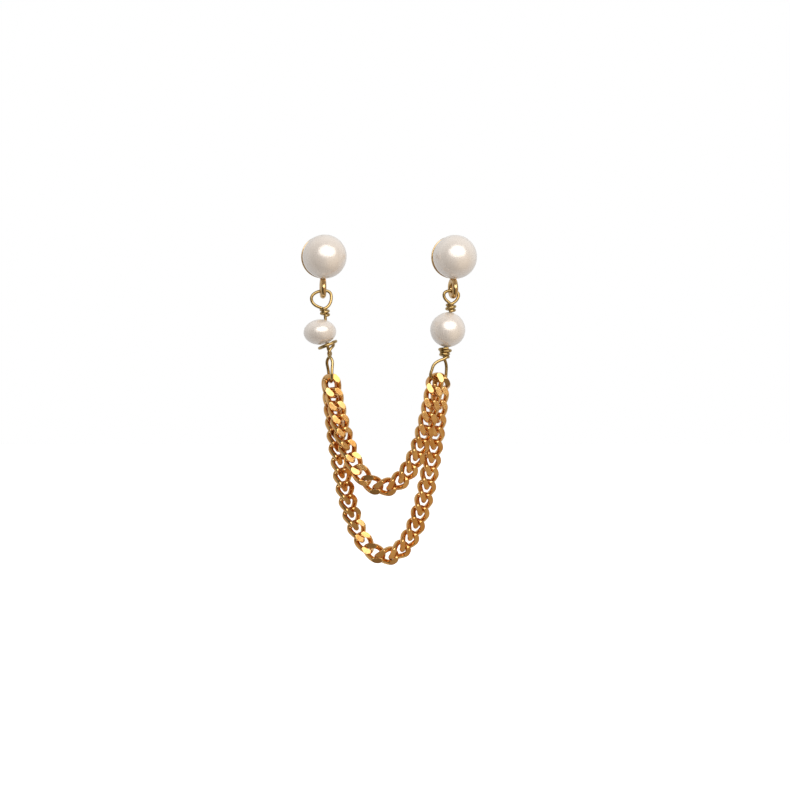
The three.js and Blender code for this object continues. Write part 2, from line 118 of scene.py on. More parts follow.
# How far the looks depart from the CAD model: wires are a little slimmer, so that they keep
# clear of each other as they swing, pearls are a little uneven, and links rock by a degree or so.
WIRE_SLACK = 0.015
STUD_PEARL_WAVES = 0.03
DROP_PEARL_WAVES = 0.045
LINK_ROCK = 1.2

# Each side's own proportions, with lengths along the drop measured down from its wire's top.
# They are the CAD model's, but the right upper wrap is tilted less, to clear the eye.
LEFT = {
    "name": "left",
    "side": -1,
    "eye_turn": -2,
    "lean": 5,
    "wrap_radius": 0.56,
    "upper_loop": {
        "height": 2.66, "half_width": 1.5, "bow": -0.35, "shift": 0, "flatness": 0.85, "pointed": 0.5,
    },
    "upper_wrap": {"turns": 2, "tilt": 0},
    "bead": {"depth": 6.05, "radius": 2.4, "half_height": 1.88, "offset": -1.0},
    "lower_wrap": {
        "start": 8.66, "end": 8.04, "turns": 1.3, "climb": 0.4,
        "radius": 1.28, "flare_from": 0, "tilt": 0.42,
    },
    "lower_loop": {"half_width": 2.0, "bow": 0, "shift": 0, "flatness": 0.58, "pointed": 1},
    "lower_neck": 8.91,
    "loop_angle": 90,
    "loop_twist": 60,
    "seat": 0.66,
}
RIGHT = {
    "name": "right",
    "side": 1,
    "eye_turn": 10,
    "lean": 7.6,
    "wrap_radius": 0.62,
    "upper_loop": {
        "height": 1.96, "half_width": 1.12, "bow": -0.2, "shift": 0, "flatness": 0.85, "pointed": 0.9,
    },
    "upper_wrap": {"turns": 2, "tilt": 0.12},
    "bead": {"depth": 5.82, "radius": 2.58, "half_height": 2.58, "offset": 0},
    "lower_wrap": {
        "start": 9.88, "end": 8.6, "turns": 3, "climb": 3,
        "radius": 0.85, "flare_from": 1.9, "tilt": 0.14,
    },
    "lower_loop": {"half_width": 1.32, "bow": -0.37, "shift": -0.42, "flatness": 0.58, "pointed": 1},
    "lower_neck": 10.11,
    "loop_angle": 20,
    "loop_twist": 0,
    "seat": 0.6,
}

# The two chains: how many links, how many of them move together at the bottom, whether the chain
# hangs in front (way -1) or behind, and between which shares of its length its roll changes.
SHORT = {"name": "short", "count": 19, "joined": 3, "way": -1, "turns_from": 0.2, "turns_to": 0.55}
LONG = {"name": "long", "count": 29, "joined": 5, "way": 1, "turns_from": 0.36, "turns_to": 0.52}


# ---------------------------------------------------------------- mesh helpers
def smoothstep(x):
    x = np.clip(x, 0, 1)
    return x * x * (3 - 2 * x)


def lerp(a, b, t):
    return a + (b - a) * t


def make_piece(name, points, faces, material, smooth_angle=40):
    """A mesh from points in millimetres in the part's frame."""
    mesh = bpy.data.meshes.new(name)
    mesh.from_pydata((np.asarray(points, float) * MM).tolist(), [], faces)
    mesh.validate()
    bm = bmesh.new()
    bm.from_mesh(mesh)
    bmesh.ops.recalc_face_normals(bm, faces=bm.faces)
    bm.to_mesh(mesh)
    bm.free()
    mesh.shade_smooth()
    if smooth_angle < 180:
        mesh.set_sharp_from_angle(angle=math.radians(smooth_angle))
    piece = bpy.data.objects.new(name, mesh)
    bpy.context.scene.collection.objects.link(piece)
    piece.data.materials.append(material)
    return piece


def fit_to_frame(piece, body, nodes):
    """The piece rides on a CAD body and stands for CAD nodes, which it hides."""
    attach(piece, body)
    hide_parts(*nodes)


def grid_faces(rows, columns, close_rows=False):
    """Quads over a grid whose columns close on themselves."""
    faces = []
    last = rows if close_rows else rows - 1
    for i in range(last):
        a, b = i * columns, ((i + 1) % rows) * columns
        for j in range(columns):
            k = (j + 1) % columns
            faces.append((a + j, a + k, b + k, b + j))
    return faces


def resampled(points, step):
    """The same open line with points every step along it."""
    points = np.asarray(points, float)
    lengths = np.linalg.norm(np.diff(points, axis=0), axis=1)
    along = np.concatenate(([0], np.cumsum(lengths)))
    count = max(2, int(round(along[-1] / step)) + 1)
    targets = np.linspace(0, along[-1], count)
    return np.stack([np.interp(targets, along, points[:, k]) for k in range(3)], 1)


def eased(points, reach):
    """The same open line with its corners rounded over reach points, its ends kept."""
    weights = np.exp(-0.5 * (np.arange(-3 * reach, 3 * reach + 1) / reach) ** 2)
    weights /= weights.sum()
    before = 2 * points[0] - points[1:3 * reach + 1][::-1]
    after = 2 * points[-1] - points[-3 * reach - 1:-1][::-1]
    padded = np.concatenate((before, points, after))
    return np.stack([np.convolve(padded[:, k], weights, "valid") for k in range(3)], 1)


def tangents_of(points):
    ahead = np.gradient(points, axis=0)
    return ahead / np.linalg.norm(ahead, axis=1)[:, None]


def swept_wire(name, points, radius, sides, material, dome=5):
    """Round wire along an open line of points, with rounded ends."""
    tangents = tangents_of(points)
    normal = np.cross(tangents[0], (0.3, 0.5, 0.8))
    normal /= np.linalg.norm(normal)
    angles = np.arange(sides) / sides * 2 * math.pi
    rings = []
    for i, (point, tangent) in enumerate(zip(points, tangents)):
        normal = normal - tangent * np.dot(normal, tangent)
        normal /= np.linalg.norm(normal)
        other = np.cross(tangent, normal)
        circle = np.outer(np.cos(angles), normal) + np.outer(np.sin(angles), other)
        ends = []
        if i == 0:
            ends = [(-1, k / dome) for k in range(1, dome)]
        if i == len(points) - 1:
            ends = [(1, k / dome) for k in range(dome - 1, 0, -1)]
        body = point + circle * radius
        caps = []
        for sign, share in ends:
            lift = radius * 0.5 * math.cos(share * math.pi / 2)
            width = radius * math.sin(share * math.pi / 2)
            caps.append(point + tangent * sign * lift + circle * width)
        rings += caps + [body] if i == 0 else [body] + caps
    count = len(rings)
    vertices = np.concatenate(rings)
    faces = grid_faces(count, sides)
    faces.append(tuple(range(sides))[::-1])
    faces.append(tuple(range((count - 1) * sides, count * sides)))
    return make_piece(name, vertices, faces, material, 60)


def turned(name, profile, material, sides=96, centre=(0, 0, 0), shape=None, smooth_angle=35):
    """A turned piece about the Y axis from (radius, y) points, in millimetres.

    The profile starts and ends on the axis, or closes on itself. shape(points) may move points
    before the piece is put at its centre."""
    profile = np.asarray(profile, float)
    on_axis = profile[0][0] < 1e-9
    body = profile[1:-1] if on_axis else profile[:-1]
    angles = np.arange(sides) / sides * 2 * math.pi
    rows = []
    for radius, y in body:
        rows.append(np.stack((radius * np.cos(angles), np.full(sides, y), radius * np.sin(angles)), 1))
    points = np.concatenate(rows)
    faces = grid_faces(len(body), sides, close_rows=not on_axis)
    if on_axis:
        first, last = len(points), len(points) + 1
        points = np.concatenate((points, [(0, profile[0][1], 0), (0, profile[-1][1], 0)]))
        end = (len(body) - 1) * sides
        for j in range(sides):
            k = (j + 1) % sides
            faces.append((first, k, j))
            faces.append((last, end + j, end + k))
    if shape:
        points = shape(points)
    return make_piece(name, points + np.asarray(centre), faces, material, smooth_angle)


def rounded(profile, radius, steps=4, closed=True):
    """A profile with its corners rounded; points marked with a third value stay sharp."""
    points = [np.array(p[:2], float) for p in profile]
    keep = [len(p) > 2 for p in profile]
    count = len(points)
    out = []
    for i, point in enumerate(points):
        inner = closed or 0 < i < count - 1
        if not inner or keep[i]:
            out.append(point)
            continue
        before = points[i - 1] - point
        after = points[(i + 1) % count] - point
        reach = min(radius, np.linalg.norm(before) * 0.45, np.linalg.norm(after) * 0.45)
        start = point + before / np.linalg.norm(before) * reach
        end = point + after / np.linalg.norm(after) * reach
        for k in range(steps + 1):
            t = k / steps
            out.append((1 - t) ** 2 * start + 2 * t * (1 - t) * point + t * t * end)
    if closed:
        out.append(out[0])
    return out


# ---------------------------------------------------------------- materials
def new_material(name):
    material = bpy.data.materials.new(name)
    material.use_nodes = True
    nodes = material.node_tree.nodes
    return material, nodes, material.node_tree.links, nodes["Principled BSDF"]


def add_node(nodes, kind, **values):
    node = nodes.new(kind)
    for key, value in values.items():
        if key in node.inputs:
            node.inputs[key].default_value = value
        else:
            setattr(node, key, value)
    return node


def noise_on(nodes, links, scale, detail=4, roughness=0.55, stretch=(1, 1, 1)):
    """Noise in the piece's own coordinates, so that it moves with the piece. scale is per metre."""
    coordinates = nodes.new("ShaderNodeTexCoord")
    mapping = nodes.new("ShaderNodeMapping")
    mapping.inputs["Scale"].default_value = stretch
    noise = add_node(nodes, "ShaderNodeTexNoise", Scale=scale, Detail=detail, Roughness=roughness)
    links.new(coordinates.outputs["Object"], mapping.inputs["Vector"])
    links.new(mapping.outputs["Vector"], noise.inputs["Vector"])
    return noise.outputs["Fac"]


def ramp_on(nodes, links, source, stops):
    """A colour ramp over a source value: stops are (position, colour)."""
    ramp = nodes.new("ShaderNodeValToRGB")
    while len(ramp.color_ramp.elements) < len(stops):
        ramp.color_ramp.elements.new(0.5)
    for element, (position, colour) in zip(ramp.color_ramp.elements, stops):
        element.position = position
        element.color = (*colour, 1)
    links.new(source, ramp.inputs["Fac"])
    return ramp.outputs["Color"]


def range_on(nodes, links, source, low, high, from_low=0.3, from_high=0.7):
    """A source value stretched from one range onto another."""
    mapped = nodes.new("ShaderNodeMapRange")
    mapped.inputs["From Min"].default_value = from_low
    mapped.inputs["From Max"].default_value = from_high
    mapped.inputs["To Min"].default_value = low
    mapped.inputs["To Max"].default_value = high
    links.new(source, mapped.inputs["Value"])
    return mapped.outputs["Result"]


def bump_on(nodes, links, shader, source, distance, strength=1.0, after=None):
    """Relief from a source value, on top of the relief of the bump node after."""
    bump = add_node(nodes, "ShaderNodeBump", Strength=strength, Distance=distance)
    links.new(source, bump.inputs["Height"])
    if after is not None:
        links.new(after.outputs["Normal"], bump.inputs["Normal"])
    links.new(bump.outputs["Normal"], shader.inputs["Normal"])
    return bump


def gold_material(name, bright, deep, roughness, tarnish=(0.30, 0.15, 0.05)):
    """Worn gold plate: colour drift, tarnish in patches, fine scratches and shallow dents."""
    material, nodes, links, shader = new_material(name)
    shader.inputs["Metallic"].default_value = 1.0
    drift = noise_on(nodes, links, 420, 3)
    colour = ramp_on(nodes, links, drift, [(0.35, deep), (0.6, bright)])
    patches = noise_on(nodes, links, 1300, 6, 0.6)
    stain = range_on(nodes, links, patches, 0.0, 0.45, 0.58, 0.75)
    mix = add_node(nodes, "ShaderNodeMix", data_type="RGBA")
    links.new(stain, mix.inputs["Factor"])
    links.new(colour, mix.inputs["A"])
    mix.inputs["B"].default_value = (*tarnish, 1)
    links.new(mix.outputs["Result"], shader.inputs["Base Color"])
    grain = noise_on(nodes, links, 5200, 5, 0.6)
    rough = range_on(nodes, links, grain, roughness * 0.7, roughness * 1.4)
    links.new(rough, shader.inputs["Roughness"])
    dents = noise_on(nodes, links, 900, 2, 0.4)
    scratch = noise_on(nodes, links, 9000, 2, 0.5, (1, 0.25, 0.08))
    first = bump_on(nodes, links, shader, dents, 0.00002, 0.35)
    bump_on(nodes, links, shader, scratch, 0.000002, 0.5, first)
    return material


def nacre_painted_glow_material(name, body, warm):
    """Pearl nacre: soft colour clouds under a glossy and faintly lined skin, and a faint warm painted
    glow that lightens its shaded sides.
    """
    material, nodes, links, shader = new_material(name)
    clouds = noise_on(nodes, links, 220, 3, 0.5)
    colour = ramp_on(nodes, links, clouds, [(0.3, warm), (0.6, body)])
    links.new(colour, shader.inputs["Base Color"])
    shader.inputs["Metallic"].default_value = 0.2
    shader.inputs["Coat Weight"].default_value = 1.0
    shader.inputs["Coat Roughness"].default_value = 0.3
    shader.inputs["Coat IOR"].default_value = 1.7
    shader.inputs["Specular IOR Level"].default_value = 0.8
    # Painted glow: a faint warm emission, which lightens the shaded sides of the pearl.
    shader.inputs["Emission Color"].default_value = (1.0, 0.93, 0.87, 1)
    shader.inputs["Emission Strength"].default_value = 0.08
    grain = noise_on(nodes, links, 1600, 2, 0.5)
    links.new(range_on(nodes, links, grain, 0.24, 0.34), shader.inputs["Roughness"])
    lines = noise_on(nodes, links, 420, 1, 0.4, (1, 1, 2.2))
    first = bump_on(nodes, links, shader, lines, 0.00002, 0.3)
    bump_on(nodes, links, shader, grain, 0.000002, 0.2, first)
    return material


def steel_material():
    """Drawn spring steel, with streaks and uneven grey."""
    material, nodes, links, shader = new_material("spring_steel")
    shader.inputs["Metallic"].default_value = 1.0
    tone = noise_on(nodes, links, 3000, 3)
    colour = ramp_on(nodes, links, tone, [(0.3, (0.45, 0.45, 0.46)), (0.7, (0.72, 0.72, 0.74))])
    links.new(colour, shader.inputs["Base Color"])
    grain = noise_on(nodes, links, 9000, 3, 0.5, (1, 0.2, 1))
    links.new(range_on(nodes, links, grain, 0.18, 0.4), shader.inputs["Roughness"])
    bump_on(nodes, links, shader, grain, 0.000004, 0.6)
    return material


# The pearls' nacre, which carries a faint painted glow.
nacre_with_painted_glow = nacre_painted_glow_material("pearl_nacre_painted_glow", (0.80, 0.73, 0.66), (0.75, 0.66, 0.58))
setting_gold = gold_material("setting_gold", (0.78, 0.55, 0.27), (0.62, 0.38, 0.15), 0.2)
wire_gold = gold_material("wire_gold", (0.56, 0.40, 0.17), (0.40, 0.26, 0.09), 0.24)
chain_gold = gold_material("chain_gold", (0.86, 0.53, 0.21), (0.72, 0.37, 0.11), 0.18)
steel = steel_material()


# ---------------------------------------------------------------- studs
def stud_centre(side):
    return np.array((side["side"] * STUD_SPACING / 2, 0, 0))


def uneven(points, centre, amount, seed, waves=5, waviness=2.2):
    """Points pushed in and out along rays from centre, by a few broad seeded waves."""
    rng = np.random.default_rng(seed)
    rays = points - centre
    lengths = np.linalg.norm(rays, axis=1)[:, None]
    units = rays / np.maximum(lengths, 1e-9)
    push = np.zeros(len(points))
    for _ in range(waves):
        direction = rng.normal(size=3) * waviness
        push += np.sin(units @ direction + rng.uniform(0, 2 * math.pi)) / waves
    return points + units * (push * amount)[:, None]


def build_pad(side):
    """The dished pad behind the pearl, drilled for its pin."""
    hole = PIN_RADIUS + CONTACT_GAP
    rim_inside = PAD_RADIUS * 0.93
    outer = [
        (hole, 0), (PAD_BACK_RADIUS, 0), (PAD_RADIUS, PAD_RIM_BACK),
        (PAD_RADIUS, PAD_RIM_FRONT), (rim_inside, PAD_RIM_FRONT),
    ]
    steps = 14
    dish = []
    for k in range(1, steps):
        t = k / steps
        radius = lerp(rim_inside, hole, t)
        dish.append((radius, lerp(PAD_RIM_FRONT, PAD_DISH_FLOOR, 1 - (1 - t) ** 2), "sharp"))
    profile = rounded(outer + dish + [(hole, PAD_DISH_FLOOR)], 0.09)
    name = side["name"]
    pad = turned(f"{name}_setting_pad", profile, setting_gold, 128, stud_centre(side))
    fit_to_frame(pad, "studs", [f"{name}_setting"])


def build_eye(side):
    """The ring under the pad that the drop hangs from."""
    name = side["name"]
    centre = np.array((0, EYE_SETBACK, EYE_CENTRE))
    radius = EYE_WIRE_RADIUS - WIRE_SLACK
    turn = math.radians(side["eye_turn"])
    across = np.array((-math.sin(turn), math.cos(turn), 0))
    flat = np.array((math.cos(turn), math.sin(turn), 0))
    around, sides = 96, 24
    rows = []
    for i in range(around):
        t = i / around * 2 * math.pi
        out = across * math.cos(t) + np.array((0, 0, 1)) * math.sin(t)
        for j in range(sides):
            s = j / sides * 2 * math.pi
            rows.append(centre + out * (EYE_RADIUS + radius * math.cos(s)) + flat * radius * math.sin(s))
    points = np.array(rows) + stud_centre(side)
    ring = make_piece(f"{name}_setting_eye", points, grid_faces(around, sides, True), setting_gold, 180)
    fit_to_frame(ring, "studs", [f"{name}_setting"])


def build_solder(side):
    """The solder that flows from inside the pad's edge over the top of the ring."""
    inset, flatness = 0.92, 0.8
    start = np.array((0, (PAD_RIM_FRONT + PAD_RIM_BACK) / 2, -PAD_RADIUS * inset))
    end = np.array((0, EYE_SETBACK, EYE_CENTRE + EYE_RADIUS))
    waist, at_pad, at_ring, thinnest = 0.36, 0.18, 0.10, 0.03
    near_pad, near_ring, bluntness = 0.45, 0.6, 16
    steps, sides = 16, 24
    line = np.array([lerp(start, end, k / steps) for k in range(steps + 1)])
    along = (end - start) / np.linalg.norm(end - start)
    sideways = np.cross(along, (0, 1, 0))
    sideways /= np.linalg.norm(sideways)
    depth = np.cross(sideways, along)
    rows = []
    for k, point in enumerate(line):
        t = k / steps
        radius = waist + at_pad * (1 - smoothstep(t / near_pad))
        radius += at_ring * smoothstep((t - near_ring) / (1 - near_ring))
        edge = math.sqrt(max(0.0, 1 - (2 * t - 1) ** bluntness))
        for j in range(sides):
            s = j / sides * 2 * math.pi
            ray = sideways * math.cos(s) + depth * flatness * math.sin(s)
            rows.append(point + ray * max(radius * edge, thinnest))
    points = np.array(rows) + stud_centre(side)
    faces = grid_faces(steps + 1, sides)
    faces.append(tuple(range(sides)))
    faces.append(tuple(range(steps * sides, (steps + 1) * sides)))
    name = side["name"]
    solder = make_piece(f"{name}_setting_solder", points, faces, setting_gold, 60)
    fit_to_frame(solder, "studs", [f"{name}_setting"])


def build_stud_pearl(side, seed):
    """A round pearl, half drilled for its peg."""
    bore = PEG_RADIUS + CONTACT_GAP
    bore_end = PAD_DISH_FLOOR - PEG_DEPTH - GLUE_ROOM
    rows = 72
    last = math.pi - math.asin(bore / PEARL_RADIUS)
    profile = [(0, PEARL_SETBACK - PEARL_RADIUS)]
    for k in range(1, rows + 1):
        angle = last * k / rows
        profile.append((PEARL_RADIUS * math.sin(angle), PEARL_SETBACK - PEARL_RADIUS * math.cos(angle)))
    profile += [(bore, bore_end), (0, bore_end)]
    centre = np.array((0, PEARL_SETBACK, 0))
    name = side["name"]
    pearl = turned(
        f"{name}_stud_pearl_nacre", profile, nacre_with_painted_glow, 128, stud_centre(side),
        lambda points: uneven(points, centre, STUD_PEARL_WAVES, seed), 60,
    )
    fit_to_frame(pearl, "studs", [f"{name}_stud_pearl"])


def build_post(side):
    """The peg that the pearl is glued on, and the pin with its gripping groove and its point."""
    peg_end = PAD_DISH_FLOOR - PEG_DEPTH
    groove_from_cloth = 1.6
    groove = CLOTH_GAP + groove_from_cloth
    groove_half_width, groove_share = 0.3, 0.84
    point_length, point_middle = 1.3, 0.55
    middle_share, tip_share = 0.55, 0.16
    edge = 0.05
    profile = [
        (0, peg_end), (PEG_RADIUS, peg_end), (PEG_RADIUS, PAD_DISH_FLOOR),
        (PIN_RADIUS, PAD_DISH_FLOOR + edge), (PIN_RADIUS, groove - groove_half_width),
        (PIN_RADIUS * groove_share, groove), (PIN_RADIUS, groove + groove_half_width),
        (PIN_RADIUS, PIN_LENGTH - point_length),
        (PIN_RADIUS * middle_share, PIN_LENGTH - point_middle),
        (PIN_RADIUS * tip_share, PIN_LENGTH - edge), (0, PIN_LENGTH),
    ]
    name = side["name"]
    profile = rounded(profile, 0.12, 4, closed=False)
    post = turned(f"{name}_post_turned", profile, setting_gold, 64, stud_centre(side))
    fit_to_frame(post, "studs", [f"{name}_post"])


# ---------------------------------------------------------------- clutches
FLANGE_RADIUS = 2.4
FLANGE_THICKNESS = 0.45
BARREL_RADIUS = 1.45
BARREL_LENGTH = 4.0
BARREL_LIP = 0.25
BARREL_BORE = 1.15
TAPER_FROM = 0.7
TAPER_TO = 2.1
STEM_RADIUS = 0.72
STEM_LENGTH = 4.8
CAP_FRONT = 0.75
CAP_WEB = 4.3
CAP_LENGTH = 5.9
CAP_RADIUS = 1.9
CAP_TAIL_RADIUS = 1.55
CAP_WALL = 0.3
JAW_NOSE = TAPER_FROM + 0.35
JAW_SHOULDER = TAPER_TO + 0.05
JAW_FINGERS = 3
JAW_SLOT = 0.16
JAW_SLOT_LENGTH = 2.2
SPRING_WIRE_RADIUS = 0.1
SPRING_TURNS = 3.5


def clutch_centre(side):
    return stud_centre(side) + np.array((0, CLOTH_GAP, 0))


def build_clutch_base(side):
    """The flanged barrel, whose flange has a raised rim, and its tapered seat."""
    hole = PIN_RADIUS + 2 * CONTACT_GAP
    stem = STEM_RADIUS + CONTACT_GAP
    recess = FLANGE_THICKNESS - 0.08
    rim_inside, rim_foot = FLANGE_RADIUS * 0.8, FLANGE_RADIUS * 0.77
    profile = rounded([
        (hole, 0), (FLANGE_RADIUS, 0), (FLANGE_RADIUS, FLANGE_THICKNESS),
        (rim_inside, FLANGE_THICKNESS), (rim_foot, recess),
        (BARREL_RADIUS + 0.1, recess), (BARREL_RADIUS, FLANGE_THICKNESS + 0.05),
        (BARREL_RADIUS, BARREL_LENGTH), (stem, BARREL_LENGTH), (stem, BARREL_LENGTH - BARREL_LIP),
        (BARREL_BORE, BARREL_LENGTH - BARREL_LIP), (BARREL_BORE, TAPER_TO), (hole, TAPER_FROM),
    ], 0.09)
    name = side["name"]
    base = turned(f"{name}_clutch_base_turned", profile, setting_gold, 96, clutch_centre(side))
    fit_to_frame(base, f"{name}_clutch", [f"{name}_clutch_base"])


def build_clutch_jaw(side):
    """The jaw on its stem, slotted into fingers."""
    bore = PIN_RADIUS + CONTACT_GAP
    widest = BARREL_BORE - 2 * CONTACT_GAP
    edge = 0.05
    profile = rounded([
        (bore, JAW_NOSE), (bore + 2 * edge, JAW_NOSE), (widest, JAW_SHOULDER - edge),
        (widest, JAW_SHOULDER), (STEM_RADIUS, JAW_SHOULDER), (STEM_RADIUS, STEM_LENGTH),
        (bore, STEM_LENGTH),
    ], edge, 2)
    name = side["name"]
    centre = clutch_centre(side)
    jaw = turned(f"{name}_clutch_jaw_fingers", profile, setting_gold, 72, centre)
    middle = JAW_NOSE + JAW_SLOT_LENGTH / 2 - JAW_SLOT
    cutters = bmesh.new()
    for finger in range(JAW_FINGERS):
        turn = Matrix.Rotation(finger * 2 * math.pi / JAW_FINGERS, 4, "Y")
        size = Matrix.Diagonal((BARREL_BORE * 2, JAW_SLOT_LENGTH, JAW_SLOT, 1))
        place = Matrix.Translation(centre) @ turn @ Matrix.Translation((BARREL_BORE, middle, 0)) @ size
        bmesh.ops.create_cube(cutters, size=1, matrix=Matrix.Scale(MM, 4) @ place)
    mesh = bpy.data.meshes.new("jaw_slots")
    cutters.to_mesh(mesh)
    cutters.free()
    slots = bpy.data.objects.new("jaw_slots", mesh)
    bpy.context.scene.collection.objects.link(slots)
    cut = jaw.modifiers.new("slots", "BOOLEAN")
    cut.operation = "DIFFERENCE"
    cut.solver = "EXACT"
    cut.object = slots
    apply_modifiers(jaw)
    bpy.data.objects.remove(slots)
    fit_to_frame(jaw, f"{name}_cap", [f"{name}_clutch_jaw"])


def apply_modifiers(piece):
    """Puts the piece's modified shape into its mesh."""
    graph = bpy.context.evaluated_depsgraph_get()
    shaped = bpy.data.meshes.new_from_object(piece.evaluated_get(graph))
    piece.modifiers.clear()
    piece.data = shaped


def build_clutch_spring(side):
    """The coil round the jaw's stem. It keeps its length and rides on the clutch; the real one shortens
    as the cap is pulled.
    """
    start = JAW_SHOULDER + SPRING_WIRE_RADIUS + SEAT_GAP
    end = BARREL_LENGTH - BARREL_LIP - SPRING_WIRE_RADIUS - SEAT_GAP
    radius = (STEM_RADIUS + BARREL_BORE) / 2
    steps_per_turn = 48
    steps = int(SPRING_TURNS * steps_per_turn)
    points = []
    for i in range(steps + 1):
        t = i / steps
        angle = t * SPRING_TURNS * 2 * math.pi
        points.append((radius * math.cos(angle), lerp(start, end, t), radius * math.sin(angle)))
    name = side["name"]
    line = np.array(points) + clutch_centre(side)
    spring = swept_wire(f"{name}_clutch_spring_coil", line, SPRING_WIRE_RADIUS, 12, steel)
    fit_to_frame(spring, f"{name}_clutch", [f"{name}_clutch_spring"])
    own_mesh(spring)


def build_clutch_cap(side):
    """The pull cap, with grooves for the fingers round its skirt."""
    inner = BARREL_RADIUS + 2 * CONTACT_GAP
    socket = STEM_RADIUS + CONTACT_GAP
    skirt_end = CAP_WEB * 0.6
    tail_edge = 0.3
    groove_count, first_groove, groove_pitch = 3, 0.45, 0.4
    groove_half_width, groove_depth = 0.1, 0.07
    grooves = []
    for k in range(groove_count):
        y = CAP_FRONT + first_groove + k * groove_pitch
        grooves.append((CAP_RADIUS, y - groove_half_width))
        grooves.append((CAP_RADIUS - groove_depth, y))
        grooves.append((CAP_RADIUS, y + groove_half_width))
    profile = rounded([
        (0, CAP_LENGTH - CAP_WALL), (socket, CAP_LENGTH - CAP_WALL), (socket, CAP_WEB),
        (inner, CAP_WEB), (inner, CAP_FRONT), (CAP_RADIUS, CAP_FRONT), *grooves,
        (CAP_RADIUS, skirt_end), (CAP_TAIL_RADIUS, CAP_LENGTH - tail_edge),
        (CAP_TAIL_RADIUS - tail_edge, CAP_LENGTH), (0, CAP_LENGTH),
    ], 0.12, 4, closed=False)
    name = side["name"]
    cap = turned(f"{name}_clutch_cap_shell", profile, setting_gold, 96, clutch_centre(side))
    fit_to_frame(cap, f"{name}_cap", [f"{name}_clutch_cap"])


# ---------------------------------------------------------------- drops
LOOP_TRIM = 5


def loop_point(t, height, half_width, bow, shift, flatness, pointed):
    """A wire loop: how far across and how far along it is at t, and its widest share."""
    widest = 2 * math.sqrt((pointed + 1) ** (pointed + 1) / (pointed + 2) ** (pointed + 2))
    teardrop = math.sin(t) * math.sin(t / 2) ** pointed / widest
    across = teardrop * half_width + bow * math.sin(t) ** 2 + shift * (1 - math.cos(t)) / 2
    reach = (1 - math.copysign(abs(math.cos(t)) ** flatness, math.cos(t))) / 2
    return across, reach * height, widest


def turned_about(points, axis, degrees):
    matrix = np.array(Matrix.Rotation(math.radians(degrees), 3, axis))
    return np.asarray(points, float) @ matrix.T


def upper_wrap_line(side, fine=40):
    """The turns round the neck above the pearl, from the wire's end up to the loop."""
    turns, tilt = side["upper_wrap"]["turns"], side["upper_wrap"]["tilt"]
    r = side["wrap_radius"]
    points = []
    for i in range(turns * fine + 1):
        turn = i / fine - turns
        angle = turn * 2 * math.pi - math.pi / 2
        z = WRAP_PITCH * turn - side["upper_loop"]["height"] + tilt * math.cos(angle)
        points.append((r * math.cos(angle), r * math.sin(angle), z))
    return points


def upper_loop_line(side, fine=90):
    """The loop that hangs in the eye."""
    height = side["upper_loop"]["height"]
    points = []
    for i in range(LOOP_TRIM, fine + 1 - LOOP_TRIM):
        around = i / fine
        across, reach, _ = loop_point(around * 2 * math.pi, **side["upper_loop"])
        aside = side["wrap_radius"] * (1 - smoothstep(around / LOOP_MERGE))
        points.append((across, -aside, reach - height))
    return points


def lower_loop_line(side, fine=90):
    """The loop that carries the chains, which may be twisted below its neck."""
    height = DROP_LENGTH - side["lower_neck"]
    points = []
    for i in range(LOOP_TRIM, fine + 1 - LOOP_TRIM):
        around = i / fine
        across, reach, _ = loop_point(around * 2 * math.pi, height, **side["lower_loop"])
        aside = side["wrap_radius"] * smoothstep(1 - (1 - around) / LOOP_MERGE)
        settled = min(reach / (height * TWIST_SETTLES), 1)
        fading = (1 - settled) ** 3
        turn = side["loop_angle"] - side["loop_twist"] * math.cos(1.5 * math.pi * settled) * fading
        points.append(turned_about((across, -aside, -side["lower_neck"] - reach), "Z", turn))
    return points


def lower_wrap_line(side, fine=40):
    """The turns round the neck below the pearl, which may flare out and tilt."""
    wrap = side["lower_wrap"]
    first = math.radians(side["loop_angle"] - side["loop_twist"]) - math.pi / 2
    points = []
    for i in range(round(wrap["turns"] * fine) + 1):
        turn = i / fine
        angle = turn * 2 * math.pi + first
        flare = smoothstep((turn - wrap["flare_from"]) / FLARE_TURNS)
        r = lerp(side["wrap_radius"], wrap["radius"], flare)
        down = lerp(wrap["start"], wrap["end"], min(turn / wrap["climb"], 1))
        x, y = math.cos(angle), math.sin(angle)
        points.append((r * x, r * y, wrap["tilt"] * flare * x - down))
    return points


def from_drop(points, side):
    """Points of a drop, measured down from its wire's top, put into the part's frame."""
    hung = turned_about(points, "Y", side["lean"] * side["side"])
    return hung + np.array((side["side"] * STUD_SPACING / 2, EYE_SETBACK, DROP_TOP))


def drop_wire_line(side):
    """The whole wire: wrap, loop, stem through the pearl, loop and wrap, with eased bends."""
    bend_room, steps = 0.25, 20
    top = -side["upper_loop"]["height"] - bend_room
    bottom = -side["lower_neck"] + bend_room
    stem = [(0, 0, lerp(top, bottom, k / steps)) for k in range(steps + 1)]
    parts = [
        upper_wrap_line(side), upper_loop_line(side), stem, lower_loop_line(side), lower_wrap_line(side),
    ]
    line = np.concatenate([np.asarray(part, float) for part in parts])
    spacing, rounding = 0.05, 4
    return eased(resampled(line, spacing), rounding)


def build_drop_wire(side):
    name = side["name"]
    line = from_drop(drop_wire_line(side), side)
    wire = swept_wire(f"{name}_drop_wire_wrapped", line, DROP_WIRE_RADIUS - WIRE_SLACK, 16, wire_gold)
    fit_to_frame(wire, f"{name}_drop", [f"{name}_drop_wire"])


